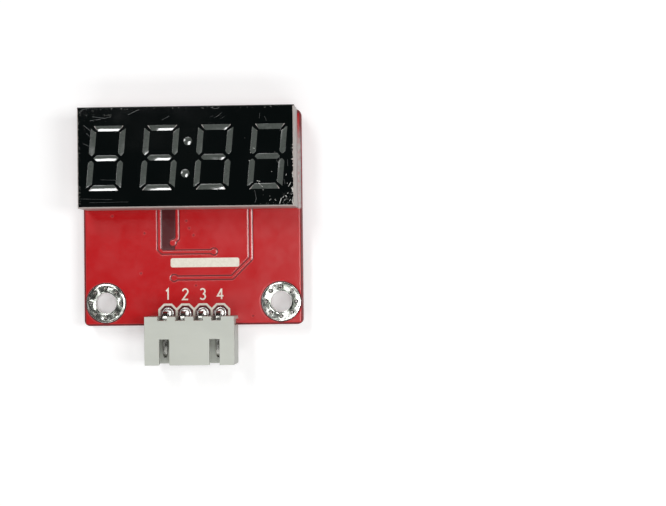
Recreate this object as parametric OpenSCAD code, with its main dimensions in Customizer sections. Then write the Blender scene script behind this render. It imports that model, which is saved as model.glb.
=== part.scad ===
// Four digit clock display module: a red circuit board that carries a slanted
// seven segment LED display, a four way side entry header and, underneath,
// the driver chip with its resistors and capacitors.
// X runs to the right, Y towards the display's top edge, Z up out of the face.
// The origin is midway between the two fixing holes, on the board's underside.

/* [Circuit board] */
// Width of the board, along X
board_w = 31.2; // [30.6:0.1:38]
// Height of the board, along Y
board_h = 30.5; // [30.3:0.1:34]
// Thickness of the board
board_t = 1.6; // [1:0.1:2.4]
// Radius of the board's corners
board_corner_r = 0.8; // [0.4:0.1:1.4]
// How far the copper pour stays back from the board's edge
pour_setback = 0.3; // [0.15:0.05:0.4]
// Depth of the etched gaps below the masked copper
relief = 0.05; // [0.03:0.01:0.1]

/* [Fixing holes] */
// Distance of the hole centres from the board's side edges
hole_side = 3.1; // [2.9:0.05:3.6]
// Distance of the hole centres from the board's lower edge
hole_edge = 3.23; // [3.13:0.05:3.98]
// Bore of a fixing hole
hole_d = 3; // [2.2:0.1:3.4]
// Outer diameter of the tinned land round a fixing hole
land_d = 5.5; // [5.2:0.1:5.8]
// Number of small plated holes in each land
via_count = 8; // [4:1:10]
// Drilled bore of a plated hole
via_d = 0.3; // [0.2:0.05:0.4]
// Width of the bare ring round a land
land_gap = 0.22; // [0.12:0.05:0.27]
// Wall of the tinned plating inside the fixing holes
bore_plate_t = 0.16; // [0.16:0.01:0.25]
// Wall of the plating inside the small holes
barrel_t = 0.06; // [0.04:0.01:0.08]
// How far the tinned lands stand above the board's faces
land_proud = 0.06; // [0.04:0.01:0.1]

/* [Tracks on the front] */
// Width of a copper track
track_w = 0.3; // [0.2:0.05:0.35]
// Width of the etched gap on each side of a track
track_gap = 0.27; // [0.15:0.01:0.3]
// Diameter of the pad round a masked through connection
via_pad_d = 0.75; // [0.6:0.05:0.9]
// Diameter of the dimple over a masked through connection
dimple_d = 0.4; // [0.2:0.05:0.5]

/* [Display] */
// Width of the display housing
display_w = 30.1; // [29.9:0.1:30.6]
// Height of the display housing, along Y
display_h = 14; // [13.6:0.1:15]
// Depth of the display housing, along Z
display_d = 7.2; // [6.2:0.1:9]
// How far the display's top edge stays inside the board's edge
display_inset = 0.05; // [0:0.05:0.3]
// Side wall of the display housing
shell_wall = 0.8; // [0.6:0.05:1]
// Depth of the pocket behind the reflector block
pocket_d = 2.3; // [2:0.1:2.8]
// Thickness of the small board that carries the LED dice
led_board_t = 1; // [0.6:0.1:1.2]
// Clearance round the small board
led_board_clear = 0.12; // [0.05:0.01:0.25]
// How far the sealing resin stays below the housing's rim
resin_recess = 0.35; // [0.25:0.05:0.5]
// Break of the sharp edges round the face
face_edge = 0.15; // [0.05:0.05:0.25]

/* [Digits] */
// Distance of the outer digits from the housing's side walls
digit_margin = 1.445; // [1.1:0.005:1.8]
// Height of a digit over its outer edges
digit_h = 9.36; // [8.6:0.02:9.6]
// Width of a digit over its outer edges, before the slant
digit_w = 4.86; // [4.4:0.02:5]
// Width of the upright strokes
stroke_v = 0.79; // [0.6:0.01:0.95]
// Width of the level strokes
stroke_h = 1.02; // [0.7:0.01:1.1]
// Gap between the strokes at the digit's waist
stroke_gap = 0.28; // [0.2:0.01:0.35]
// How far the strokes stop short of the digit's outer corners
corner_cut = 0.36; // [0.25:0.01:0.5]
// Gap between the strokes at the digit's inner corners
inner_gap = 0.2; // [0.12:0.01:0.3]
// Slant of the digits
slant = 5.3; // [0:0.1:8]
// Shift of the row of digits from the housing's middle, along X and Y
digits_x = 0.15; // [-0.2:0.05:0.3]
digits_y = -0.1; // [-0.3:0.05:0.3]
// Diameter of a colon dot
dot_d = 1.2; // [0.8:0.05:1.4]
// Distance of each colon dot from the row's middle line
dot_offset = 2.22; // [1.8:0.02:2.6]
// Depth of the straight mouth of each window
mouth_d = 0.7; // [0.4:0.05:1.2]
// Size of a window at the dice, as a share of its mouth
throat_share = 0.62; // [0.5:0.02:0.85]
// Edge length and height of an LED die
die_w = 0.3; // [0.2:0.02:0.34]
die_h = 0.2; // [0.1:0.02:0.3]

/* [Display pins] */
// Pins in each of the two rows
pins_per_row = 6; // [4:1:6]
// Distance between neighbouring pins
pin_pitch = 2.54; // [2.5:0.01:2.56]
// Distance between the two rows of pins
row_spacing = 10.16; // [9.9:0.02:10.4]
// Diameter of a display pin
pin_d = 0.5; // [0.4:0.02:0.6]
// Drilled bore of the board's pads for the display pins
pin_hole_d = 0.8; // [0.7:0.02:0.9]
// Outer diameter of the pads for the display pins
pin_pad_d = 1.5; // [1.3:0.05:1.7]
// How far the display pins reach out below the board
pin_tail = 1.3; // [0.9:0.05:1.6]
// Height of the solder cones on the display pins
solder_h = 0.8; // [0.4:0.05:0.85]

/* [Header] */
// Number of pins in the header
header_ways = 4; // [4:1:4]
// Distance between neighbouring header pins
header_pitch = 2.5; // [2.4:0.01:2.54]
// Shift of the header from the middle of the board
header_x = 0.1; // [-0.5:0.1:0.5]
// Width of the header housing beyond its two outer pins, on each side
header_end = 2.5; // [2.2:0.05:2.8]
// Depth of the header housing, from its back to its mouth
header_l = 6.75; // [6.2:0.05:8]
// Height of the header housing above the board
header_h = 5.9; // [5.4:0.05:6.6]
// Side walls, top and floor of the header housing
header_wall = 0.8; // [0.6:0.05:0.95]
// Back wall of the header housing
header_back = 1.3; // [1:0.05:1.6]
// Distance of the header's row of pins from the board's lower edge
header_row_edge = 1.7; // [1.6:0.05:1.9]
// Edge length of the square header pins
header_pin_w = 0.64; // [0.5:0.01:0.66]
// Inner radius of the bend in a header pin
header_bend_r = 0.35; // [0.2:0.05:0.5]
// How far the pin tips stay behind the mouth
tip_recess = 0.95; // [0.6:0.05:1.6]
// Length of the taper at a pin's tip
tip_taper = 0.5; // [0.3:0.05:0.7]
// How far the header pins reach out below the board
header_tail = 1.4; // [1:0.05:1.6]
// Drilled bore of the header's pads
header_hole_d = 1; // [0.98:0.01:1.1]
// Outer diameter of the header's pads
header_pad_d = 1.6; // [1.45:0.05:1.8]
// Width across the bare octagons round the header's pads
octagon_w = 2.26; // [2:0.02:2.36]
// Height of the solder on the header pins, below and above the board
header_solder_low = 0.95; // [0.5:0.05:0.98]
header_solder_top = 0.3; // [0.15:0.05:0.45]
// Width and length of the two latch slots in the header's top wall
slot_w = 1.4; // [1.2:0.05:1.6]
slot_l = 3.6; // [2.6:0.05:4]
// Distance of each latch slot's centre from the header's middle
slot_offset = 3.5; // [3.2:0.05:3.8]
// Width and depth of the grooves behind the pins in the header's back
groove_w = 1.3; // [1:0.05:1.5]
groove_d = 0.55; // [0.3:0.05:0.7]
// Depth, length and start of the moulded relief in the header's flanks
flank_d = 0.3; // [0.15:0.05:0.4]
flank_l = 0.8; // [0.5:0.05:1]
flank_start = 0.45; // [0.3:0.05:0.6]
// Bevel inside the mouth of the header
mouth_bevel = 0.3; // [0.15:0.05:0.4]
// Height of the clearance under the housing's back edge, over the soldered pads
heel_h = 0.5; // [0.4:0.05:0.8]

/* [Driver chip] */
// Length and thickness of the chip's body
chip_l = 12.8; // [12.4:0.05:13.2]
chip_h = 2.3; // [2:0.05:2.4]
// Width over the two rows of leads of the package that is used where there is room
package_span = 10.3; // [10:0.05:10.6]
// Least clearance between the chip's solder pads and the other pads above and below it
chip_clear = 0.3; // [0.2:0.05:0.6]
// Gap between the chip's body and the solder pads
chip_standoff = 0.1; // [0.05:0.01:0.2]
// How far the leads reach out from each side of the body
lead_reach = 1.4; // [1.35:0.05:1.6]
// Leads on each side of the chip
leads_per_side = 10; // [8:1:10]
// Distance between neighbouring leads
lead_pitch = 1.27; // [1.2:0.01:1.3]
// Width of a lead
lead_w = 0.42; // [0.3:0.01:0.5]
// Thickness of a lead
lead_t = 0.24; // [0.18:0.01:0.28]
// Length of a lead's foot
foot_l = 0.85; // [0.6:0.05:1]
// How far a lead reaches into the body
lead_embed = 0.5; // [0.3:0.05:0.7]
// Draft of the chip's sides
chip_draft = 7; // [3:1:9]
// Diameter and depth of the mark beside the chip's first lead
mark_d = 1; // [0.6:0.1:1.4]
mark_depth = 0.1; // [0.05:0.01:0.15]

/* [Small parts on the back] */
// Thickness of the solder on the pads that carry the small parts
pad_t = 0.08; // [0.05:0.01:0.12]
// How far a solder pad reaches past the part that it carries
pad_margin = 0.25; // [0.1:0.05:0.3]
// Length, width and height of a chip resistor
resistor_l = 2; // [1.8:0.05:2.2]
resistor_w = 1.25; // [1:0.05:1.4]
resistor_h = 0.5; // [0.4:0.02:0.6]
// Length, width and height of a chip capacitor
capacitor_l = 2; // [1.8:0.05:2.2]
capacitor_w = 1.25; // [1:0.05:1.4]
capacitor_h = 0.9; // [0.7:0.05:1.25]
// Length of the metal caps on both kinds
cap_l = 0.42; // [0.3:0.02:0.5]
// Wall of the metal caps
cap_t = 0.05; // [0.04:0.01:0.08]
// Distance of the columns of small parts from the board's side edges
column_edge = 5; // [4.2:0.1:5.4]
// Distance between a fixing land and the lowest small part of a column
column_clear = 0.85; // [0.4:0.05:1.6]
// Distance between neighbouring small parts in a column
column_pitch = 2.6; // [2.2:0.1:2.8]

/* [Hidden] */
$fn = 32;

eps = 0.5;
arc_steps = 6;

// Outline of the board
board_bottom = -hole_edge;
board_top = board_bottom + board_h;

// Fixing lands
hole_spacing = board_w - 2 * hole_side;
hole_r = hole_d / 2;
land_r = land_d / 2;
via_ring_r = (hole_r + land_r) / 2;
front_land_z = board_t - relief;

// Display, measured from its own centre and from the board's front
display_y = board_top - display_inset - display_h / 2;
display_z = board_t;
face_z = display_z + display_d;
pocket_w = display_w - 2 * shell_wall;
pocket_h = display_h - 2 * shell_wall;
led_top = display_z + pocket_d;
led_bottom = led_top - led_board_t;
half_w = digit_w / 2;
half_h = digit_h / 2;
inner_w = half_w - stroke_v;
inner_h = half_h - stroke_h;
stroke_mid = half_w - stroke_v / 2;
lean = tan(slant);
neck_t = 0.06;
rim_back = 0.05;
solder_top_h = (resin_recess - land_proud) / 2;
digit_pitch = (display_w - 2 * digit_margin - digit_w) / 3;
digit_x = [for (i = [-1.5:1:1.5]) digits_x + i * digit_pitch];

// Header
header_w = (header_ways - 1) * header_pitch + 2 * header_end;
header_row_y = board_bottom + header_row_edge;
header_back_clear = 0.03;
header_back_y = header_row_y - header_pin_w / 2 - header_back_clear;
header_front_y = header_back_y - header_l;
header_pin_z = board_t + header_h / 2;
header_pin_x = [for (i = [0:header_ways - 1]) header_x + (i - (header_ways - 1) / 2) * header_pitch];

// Parts on the underside, where heights grow downwards
room_top = display_y - row_spacing / 2 - pin_pad_d / 2;
room_low = header_row_y + header_pad_d / 2;
chip_y = (room_top + room_low) / 2;
lead_span = min(package_span, room_top - room_low - 2 * (pad_margin + chip_clear));
chip_w = lead_span - 2 * lead_reach;
chip_foot = pad_t + chip_standoff;
lead_exit = chip_foot + chip_h / 2;
lead_x = [for (i = [0:leads_per_side - 1]) (i - (leads_per_side - 1) / 2) * lead_pitch];
shoulder = 0.4;
column_x = board_w / 2 - column_edge;
capacitor_y = [for (i = [0:2]) land_r + column_clear + capacitor_w / 2 + i * column_pitch];
resistor_y = [for (i = [0:1]) (capacitor_y[i] + capacitor_y[i + 1]) / 2];

// Masked tracks on the front, each from its hidden start to its through connection
under_display = display_y - display_h / 2 + 1;
track_left = [[-4.78, under_display], [-4.78, 7.6], [-4.4, 7.2], [3, 7.2]];
track_middle = [[-2.23, under_display], [-2.23, 9.1], [-2.85, 8.5]];
track_right = [[8.25, under_display], [8.25, 6.15], [5.6, 3.5], [-2.7, 3.5]];
tracks = [track_left, track_middle, track_right];
bare_field = [[-4.5, 7.45], [-2.5, under_display]];
dimples = [
    [-11.5, 12.4], [-0.9, 11.6], [-0.5, 10.55], [0.1, 9.55], [-6.9, 9.9],
    [-7.45, 4.2], [8.5, -2], [0.4, 2.4]
];

// Points of an arc round a centre, from one angle to another
function arc(centre, r, from, to, steps = arc_steps) =
    [for (i = [0:steps]) let (a = from + (to - from) * i / steps) centre + r * [cos(a), sin(a)]];

// Rectangle with rounded corners, between two opposite corners
function rounded_rect(low, high, r) = concat(
    arc([high.x - r, low.y + r], r, -90, 0), arc([high.x - r, high.y - r], r, 0, 90),
    arc([low.x + r, high.y - r], r, 90, 180), arc([low.x + r, low.y + r], r, 180, 270)
);

// Unit normal to the left of a path's stretch i
function stretch_normal(path, i) =
    let (d = path[i + 1] - path[i]) [-d.y, d.x] / norm(d);

// Mitred offset of a path's point i to its left
function mitred(path, i, d) =
    let (
        a = stretch_normal(path, max(i - 1, 0)),
        b = stretch_normal(path, min(i, len(path) - 2)),
        m = a + b
    ) path[i] + m * 2 * d / (m * m);

// Outline of a path drawn with a given width
function stroke(path, w) = concat(
    [for (i = [0:len(path) - 1]) mitred(path, i, w / 2)],
    [for (i = [len(path) - 1:-1:0]) mitred(path, i, -w / 2)]
);

// Slanted outline of one stroke of a digit
function leaned(points) = [for (p = points) [p.x + p.y * lean, p.y]];
function mirrored_y(points) = [for (i = [len(points) - 1:-1:0]) [points[i].x, -points[i].y]];
function mirrored_x(points) = [for (i = [len(points) - 1:-1:0]) [-points[i].x, points[i].y]];

// Level stroke at the top of a digit
top_stroke = [
    [-(half_w - corner_cut), half_h], [-(inner_w - inner_gap), inner_h],
    [inner_w - inner_gap, inner_h], [half_w - corner_cut, half_h]
];
// Level stroke at the waist of a digit
waist_tip = stroke_mid - stroke_gap;
waist_stroke = [
    [-waist_tip, 0], [-(waist_tip - stroke_h / 2), -stroke_h / 2], [waist_tip - stroke_h / 2, -stroke_h / 2],
    [waist_tip, 0], [waist_tip - stroke_h / 2, stroke_h / 2], [-(waist_tip - stroke_h / 2), stroke_h / 2]
];
// Upright stroke at the upper right of a digit
upright_stroke = [
    [inner_w, inner_h - inner_gap], [inner_w, stroke_gap + stroke_v / 2], [stroke_mid, stroke_gap],
    [half_w, stroke_gap + stroke_v / 2], [half_w, half_h - corner_cut]
];
digit_strokes = [
    top_stroke, mirrored_y(top_stroke), waist_stroke,
    upright_stroke, mirrored_x(upright_stroke),
    mirrored_y(upright_stroke), mirrored_y(mirrored_x(upright_stroke))
];

// Middle of a stroke's outline
function middle(points) = let (n = len(points))
    [for (k = [0:1]) (max([for (p = points) p[k]]) + min([for (p = points) p[k]])) / 2];

module at_fixing_vias() {
    for (i = [0:via_count - 1]) rotate(i * 360 / via_count) translate([via_ring_r, 0, 0]) children();
}

module at_display_pins() {
    for (row = [-1, 1], i = [0:pins_per_row - 1])
        translate([(i - (pins_per_row - 1) / 2) * pin_pitch, display_y + row * row_spacing / 2, 0])
            children();
}

module at_header_pins() {
    for (x = header_pin_x) translate([x, header_row_y, 0]) children();
}

// Plate of the board's outline, drawn in from its edge
module board_plate(setback, thickness) {
    r = board_corner_r - setback;
    linear_extrude(thickness)
        polygon(rounded_rect(
            [-board_w / 2 + setback, board_bottom + setback],
            [board_w / 2 - setback, board_top - setback], max(r, 0.05)
        ));
}

// Tracks and the pads at their through connections, drawn wider by a given margin
module copper(margin, height) {
    for (path = tracks) {
        linear_extrude(height) polygon(stroke(path, track_w + 2 * margin));
        translate(path[len(path) - 1]) cylinder(d = via_pad_d + 2 * margin, h = height);
    }
}

// Bare laminate beside the tracks, in the field between two of them and over the dimples
module etched(height) {
    difference() {
        union() {
            copper(track_gap, height);
            translate(bare_field[0]) cube(concat(bare_field[1] - bare_field[0], height));
        }
        translate([0, 0, -eps]) copper(0, height + 2 * eps);
    }
    for (p = dimples) translate(p) cylinder(d = dimple_d, h = height);
    for (s = [-1, 1]) translate([s * hole_spacing / 2, 0, 0])
        cylinder(r = land_r + land_gap, h = height, $fn = 64);
    at_header_pins() rotate(22.5) cylinder(d = octagon_w / cos(22.5), h = height, $fn = 8);
}

module circuit_board() {
    color("firebrick") difference() {
        union() {
            board_plate(0, front_land_z);
            translate([0, 0, front_land_z]) difference() {
                board_plate(pour_setback, relief);
                translate([0, 0, -eps]) etched(relief + 2 * eps);
            }
        }
        for (s = [-1, 1]) translate([s * hole_spacing / 2, 0, -eps]) {
            cylinder(r = hole_r + bore_plate_t, h = board_t + 2 * eps, $fn = 64);
            at_fixing_vias() cylinder(d = via_d + 2 * barrel_t, h = board_t + 2 * eps);
        }
        at_header_pins() translate([0, 0, -eps])
            cylinder(d = header_hole_d + 2 * barrel_t, h = board_t + 2 * eps);
        at_display_pins() translate([0, 0, -eps])
            cylinder(d = pin_hole_d + 2 * barrel_t, h = board_t + 2 * eps);
    }
}

// Tinned land on both faces, joined by the plated walls of its holes
module fixing_land(side) {
    color("silver") translate([side * hole_spacing / 2, 0, 0]) difference() {
        union() {
            translate([0, 0, -land_proud]) cylinder(r = land_r, h = land_proud, $fn = 64);
            translate([0, 0, front_land_z]) cylinder(r = land_r, h = relief + land_proud, $fn = 64);
            cylinder(r = hole_r + bore_plate_t, h = board_t, $fn = 64);
            at_fixing_vias() cylinder(d = via_d + 2 * barrel_t, h = board_t);
        }
        translate([0, 0, -eps]) cylinder(r = hole_r, h = board_t + 2 * eps, $fn = 64);
        at_fixing_vias() translate([0, 0, -eps]) cylinder(d = via_d, h = board_t + 2 * eps);
    }
}

module fixing_land_left() fixing_land(-1);

module fixing_land_right() fixing_land(1);

// Plated eyelet through the board, with a flat land on each face
module eyelet(bore_d, pad_d, front_z) {
    r = bore_d / 2;
    wall_r = r + barrel_t;
    rotate_extrude() polygon([
        [r, -land_proud], [pad_d / 2, -land_proud], [pad_d / 2, 0], [wall_r, 0],
        [wall_r, front_z], [pad_d / 2, front_z], [pad_d / 2, board_t + land_proud], [r, board_t + land_proud]
    ]);
}

module header_pads() {
    color("silver") at_header_pins() eyelet(header_hole_d, header_pad_d, front_land_z);
}

module display_pads() {
    color("silver") at_display_pins() eyelet(pin_hole_d, pin_pad_d, board_t);
}

// Solid between rings of points that lie above one another, each with as many points
module loft(rings) {
    n = len(rings[0]);
    last = (len(rings) - 1) * n;
    polyhedron(
        points = [for (ring = rings) each ring],
        faces = concat(
            [[for (i = [0:n - 1]) i]],
            [for (k = [0:len(rings) - 2], i = [0:n - 1])
                [k * n + i, (k + 1) * n + i, (k + 1) * n + (i + 1) % n, k * n + (i + 1) % n]],
            [[for (i = [n - 1:-1:0]) last + i]]
        ),
        convexity = 4
    );
}

// Window of one stroke: a straight mouth at the face and a tapered throat down to the die
module window(points, over) {
    m = middle(points);
    throat = [for (p = points) m + (p - m) * throat_share];
    rings = concat(
        over > 0 ? [[for (p = throat) [p.x, p.y, led_top - over]]] : [],
        [[for (p = throat) [p.x, p.y, led_top]], [for (p = points) [p.x, p.y, face_z - mouth_d]],
         [for (p = points) [p.x, p.y, face_z + over]]]
    );
    loft(rings);
}

module dot_window(over) {
    throat_d = dot_d * throat_share;
    translate([0, 0, face_z - mouth_d]) cylinder(d = dot_d, h = mouth_d + over);
    translate([0, 0, led_top]) cylinder(d1 = throat_d, d2 = dot_d, h = face_z - mouth_d - led_top);
    if (over > 0) translate([0, 0, led_top - over]) cylinder(d = throat_d, h = over);
}

// All windows, reaching past the reflector block by a given length where they cut it
module windows(over = 0) {
    translate([0, display_y + digits_y, 0]) {
        for (x = digit_x, points = digit_strokes) translate([x, 0, 0]) window(leaned(points), over);
        for (s = [-1, 1]) translate([digits_x + s * dot_offset * lean, s * dot_offset, 0]) dot_window(over);
    }
}

// One die under the middle of each window
module led_dice() {
    color("gold") translate([0, display_y + digits_y, led_top]) {
        for (x = digit_x, points = digit_strokes) let (m = middle(leaned(points)))
            translate([x + m.x, m.y, die_h / 2]) cube([die_w, die_w, die_h], center = true);
        for (s = [-1, 1]) translate([digits_x + s * dot_offset * lean, s * dot_offset, die_h / 2])
            cube([die_w, die_w, die_h], center = true);
    }
}

// Section of the display housing, with its edges broken at the face
function face_section(w) = [
    [-w / 2, 0], [w / 2, 0], [w / 2, display_d - face_edge], [w / 2 - face_edge, display_d],
    [-w / 2 + face_edge, display_d], [-w / 2, display_d - face_edge]
];

// Housing with a bevelled face, a pocket behind and the reflector block between them
module display_housing() {
    color("black") difference() {
        translate([0, display_y, display_z]) intersection() {
            rotate([90, 0, 0]) linear_extrude(display_h, center = true) polygon(face_section(display_w));
            rotate([90, 0, 90]) linear_extrude(display_w, center = true) polygon(face_section(display_h));
        }
        translate([0, display_y, display_z + pocket_d / 2 - eps / 2])
            cube([pocket_w, pocket_h, pocket_d + eps], center = true);
        windows(eps);
    }
}

module segment_resin() {
    color("dimgray") difference() {
        windows();
        led_dice();
    }
}

module led_board() {
    less = 2 * led_board_clear;
    color("darkseagreen") difference() {
        translate([0, display_y, (led_bottom + led_top) / 2])
            cube([pocket_w - less, pocket_h - less, led_board_t], center = true);
        at_display_pins() translate([0, 0, led_bottom - eps]) cylinder(d = pin_d, h = led_board_t + 2 * eps);
    }
}

module sealing_resin() {
    low = display_z + resin_recess;
    color("beige") difference() {
        translate([0, display_y, (low + led_bottom) / 2])
            cube([pocket_w, pocket_h, led_bottom - low], center = true);
        at_display_pins() translate([0, 0, low - eps]) cylinder(d = pin_d, h = led_bottom - low + 2 * eps);
    }
}

module display_pins() {
    color("silver") at_display_pins() translate([0, 0, -pin_tail])
        cylinder(d = pin_d, h = led_top + pin_tail);
}

// Section of a solder cone from its neck on the pin out to its rim on the land
function cone_section(neck, rim, z, h) =
    [for (i = [0:arc_steps]) let (t = i / arc_steps) [neck + (rim - neck) * t, z + h * (1 - t) * (1 - t)]];

// Solder of revolution: cones on the lands of both faces and a filled barrel between them
module solder(inner_r, neck, bore_d, pad_d, low_h, top_h) {
    r = bore_d / 2;
    rim = pad_d / 2 - rim_back;
    low = -land_proud;
    top = board_t + land_proud;
    top_cone = cone_section(neck, rim, top, top_h);
    rotate_extrude() polygon(concat(
        [[inner_r, low - low_h]], cone_section(neck, rim, low, -low_h), [[r, low], [r, top]],
        [for (i = [arc_steps:-1:0]) top_cone[i]], [[inner_r, top + top_h]]
    ));
}

module display_pin_solder() {
    color("lightgray") at_display_pins()
        solder(pin_d / 2, pin_d / 2 + neck_t, pin_hole_d, pin_pad_d, solder_h, solder_top_h);
}

module header_pin_solder() {
    solder_reach = board_t + 2 * (header_solder_low + header_solder_top + eps);
    color("lightgray") at_header_pins() difference() {
        solder(
            0, header_pin_w / sqrt(2) + neck_t, header_hole_d, header_pad_d,
            header_solder_low, header_solder_top
        );
        translate([0, 0, board_t / 2]) cube([header_pin_w, header_pin_w, solder_reach], center = true);
    }
}

// Square pin, bent from the board's hole into the housing and tapered at its tip
module header_pin() {
    half = header_pin_w / 2;
    tip = header_front_y + tip_recess - header_row_y;
    bend = [-half - header_bend_r, header_pin_z - half - header_bend_r];
    outer_r = header_bend_r + header_pin_w;
    taper = half / 2;
    difference() {
        rotate([90, 0, 90]) linear_extrude(header_pin_w, center = true) polygon(concat(
            [[half, -header_tail]], arc(bend, outer_r, 0, 90),
            [[tip + tip_taper, header_pin_z + half], [tip, header_pin_z + half - taper],
             [tip, header_pin_z - half + taper], [tip + tip_taper, header_pin_z - half]],
            arc(bend, header_bend_r, 90, 0), [[-half, -header_tail]]
        ));
        for (s = [-1, 1]) translate([0, 0, header_pin_z - header_pin_w]) linear_extrude(2 * header_pin_w)
            polygon([[s * half, tip + tip_taper], [s * half * 2, tip + tip_taper],
                [s * half * 2, tip - eps], [s * (half - taper), tip - eps], [s * (half - taper), tip]]);
    }
}

module header_pins() {
    color("gainsboro") at_header_pins() header_pin();
}

module header_housing() {
    cavity_w = header_w - 2 * header_wall;
    cavity_back = header_back_y - header_back;
    half = header_h / 2 - header_wall;
    flare = half + mouth_bevel + eps;
    mouth = [
        [header_front_y - eps, -flare], [header_front_y + mouth_bevel, -half], [cavity_back, -half],
        [cavity_back, half], [header_front_y + mouth_bevel, half], [header_front_y - eps, flare]
    ];
    heel_w = (header_ways - 1) * header_pitch + header_pad_d + 2 * neck_t;
    color("whitesmoke") difference() {
        translate([header_x - header_w / 2, header_front_y, board_t]) cube([header_w, header_l, header_h]);
        translate([header_x, 0, header_pin_z]) rotate([90, 0, 90])
            linear_extrude(cavity_w, center = true) polygon(mouth);
        for (s = [-1, 1]) {
            translate([header_x + s * slot_offset - slot_w / 2, header_front_y - eps, header_pin_z])
                cube([slot_w, slot_l + eps, header_h]);
            translate([header_x + s * header_w / 2, header_back_y - flank_start - flank_l / 2, board_t])
                cube([2 * flank_d, flank_l, 2 * (header_h - header_wall)], center = true);
        }
        translate([header_x - heel_w / 2, header_back_y - groove_d, board_t - eps])
            cube([heel_w, groove_d + eps, heel_h + eps]);
        for (x = header_pin_x) {
            translate([x - groove_w / 2, header_back_y - groove_d, board_t - eps])
                cube([groove_w, groove_d + eps, header_h + 2 * eps]);
            translate([x, cavity_back, header_pin_z])
                cube([header_pin_w, 2 * header_back, header_pin_w], center = true);
        }
    }
}

// Centre line of a lead in Y and depth below the board, on the side of positive Y
lead_path = [
    [chip_w / 2 - lead_embed, lead_exit], [chip_w / 2 + shoulder, lead_exit],
    [lead_span / 2 - foot_l, pad_t + lead_t / 2], [lead_span / 2, pad_t + lead_t / 2]
];

module driver_chip_leads() {
    color("silver") for (side = [0, 1]) mirror([0, 0, 1]) translate([0, chip_y, 0]) mirror([0, side, 0])
        for (x = lead_x) translate([x, 0, 0]) rotate([90, 0, 90])
            linear_extrude(lead_w, center = true) polygon(stroke(lead_path, lead_t));
}

// Section of the chip's body with drafted sides that meet at the leads
function drafted(w) = let (run = chip_h / 2 * tan(chip_draft)) [
    [-w / 2 + run, chip_foot], [w / 2 - run, chip_foot], [w / 2, lead_exit],
    [w / 2 - run, chip_foot + chip_h], [-w / 2 + run, chip_foot + chip_h], [-w / 2, lead_exit]
];

module driver_chip_body() {
    color("darkslategray") mirror([0, 0, 1]) translate([0, chip_y, 0]) difference() {
        intersection() {
            rotate([90, 0, 0]) linear_extrude(chip_w, center = true) polygon(drafted(chip_l));
            rotate([90, 0, 90]) linear_extrude(chip_l, center = true) polygon(drafted(chip_w));
        }
        for (x = lead_x, s = [-1, 1]) translate([x, s * chip_w / 2, lead_exit])
            cube([lead_w, 2 * lead_embed, lead_t], center = true);
        translate([-chip_l / 2 + 1.5 * mark_d, -chip_w / 2 + 1.5 * mark_d, chip_foot + chip_h - mark_depth])
            cylinder(d = mark_d, h = mark_depth + eps);
    }
}

module chip_solder_pads() {
    color("lightgray") for (s = [-1, 1], x = lead_x)
        translate([x, chip_y + s * (lead_span / 2 - foot_l / 2), -pad_t / 2])
            cube([lead_w + pad_margin, foot_l + 2 * pad_margin, pad_t], center = true);
}

module at_resistors() {
    for (y = resistor_y) translate([-column_x, y, 0]) children();
}

module at_capacitors() {
    for (y = capacitor_y) translate([column_x, y, 0]) children();
}

module pad_pair(l, w) {
    for (s = [-1, 1]) translate([s * (l / 2 - cap_l / 2), 0, -pad_t / 2])
        cube([cap_l + 2 * pad_margin, w + pad_margin, pad_t], center = true);
}

module small_part_solder_pads() {
    color("lightgray") {
        at_resistors() pad_pair(resistor_l, resistor_w);
        at_capacitors() pad_pair(capacitor_l, capacitor_w);
    }
}

// Ceramic body whose ends are thinner where the metal caps wrap round them
module ceramic_body(l, w, h, side_wrap) {
    translate([0, 0, -pad_t - h / 2]) {
        cube([l - 2 * cap_l, w, h], center = true);
        cube([l - 2 * cap_t, w - 2 * side_wrap, h - 2 * cap_t], center = true);
    }
}

// Metal caps that wrap round the ends of a ceramic body
module metal_caps(l, w, h, side_wrap) {
    translate([0, 0, -pad_t - h / 2]) difference() {
        for (s = [-1, 1]) translate([s * (l - cap_l) / 2, 0, 0]) cube([cap_l, w, h], center = true);
        cube([l - 2 * cap_t, w - 2 * side_wrap, h - 2 * cap_t], center = true);
    }
}

module resistor_bodies() {
    color("dimgray") at_resistors() ceramic_body(resistor_l, resistor_w, resistor_h, 0);
}

module resistor_caps() {
    color("silver") at_resistors() metal_caps(resistor_l, resistor_w, resistor_h, 0);
}

module capacitor_bodies() {
    color("tan") at_capacitors() ceramic_body(capacitor_l, capacitor_w, capacitor_h, cap_t);
}

module capacitor_caps() {
    color("silver") at_capacitors() metal_caps(capacitor_l, capacitor_w, capacitor_h, cap_t);
}

circuit_board();
fixing_land_left();
fixing_land_right();
header_pads();
display_pads();
display_housing();
segment_resin();
sealing_resin();
led_board();
led_dice();
display_pins();
display_pin_solder();
header_housing();
header_pins();
header_pin_solder();
driver_chip_body();
driver_chip_leads();
chip_solder_pads();
small_part_solder_pads();
resistor_bodies();
resistor_caps();
capacitor_bodies();
capacitor_caps();
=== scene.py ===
import math

import bmesh
import bpy
import numpy as np
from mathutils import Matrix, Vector
from mathutils.geometry import tessellate_polygon


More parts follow.
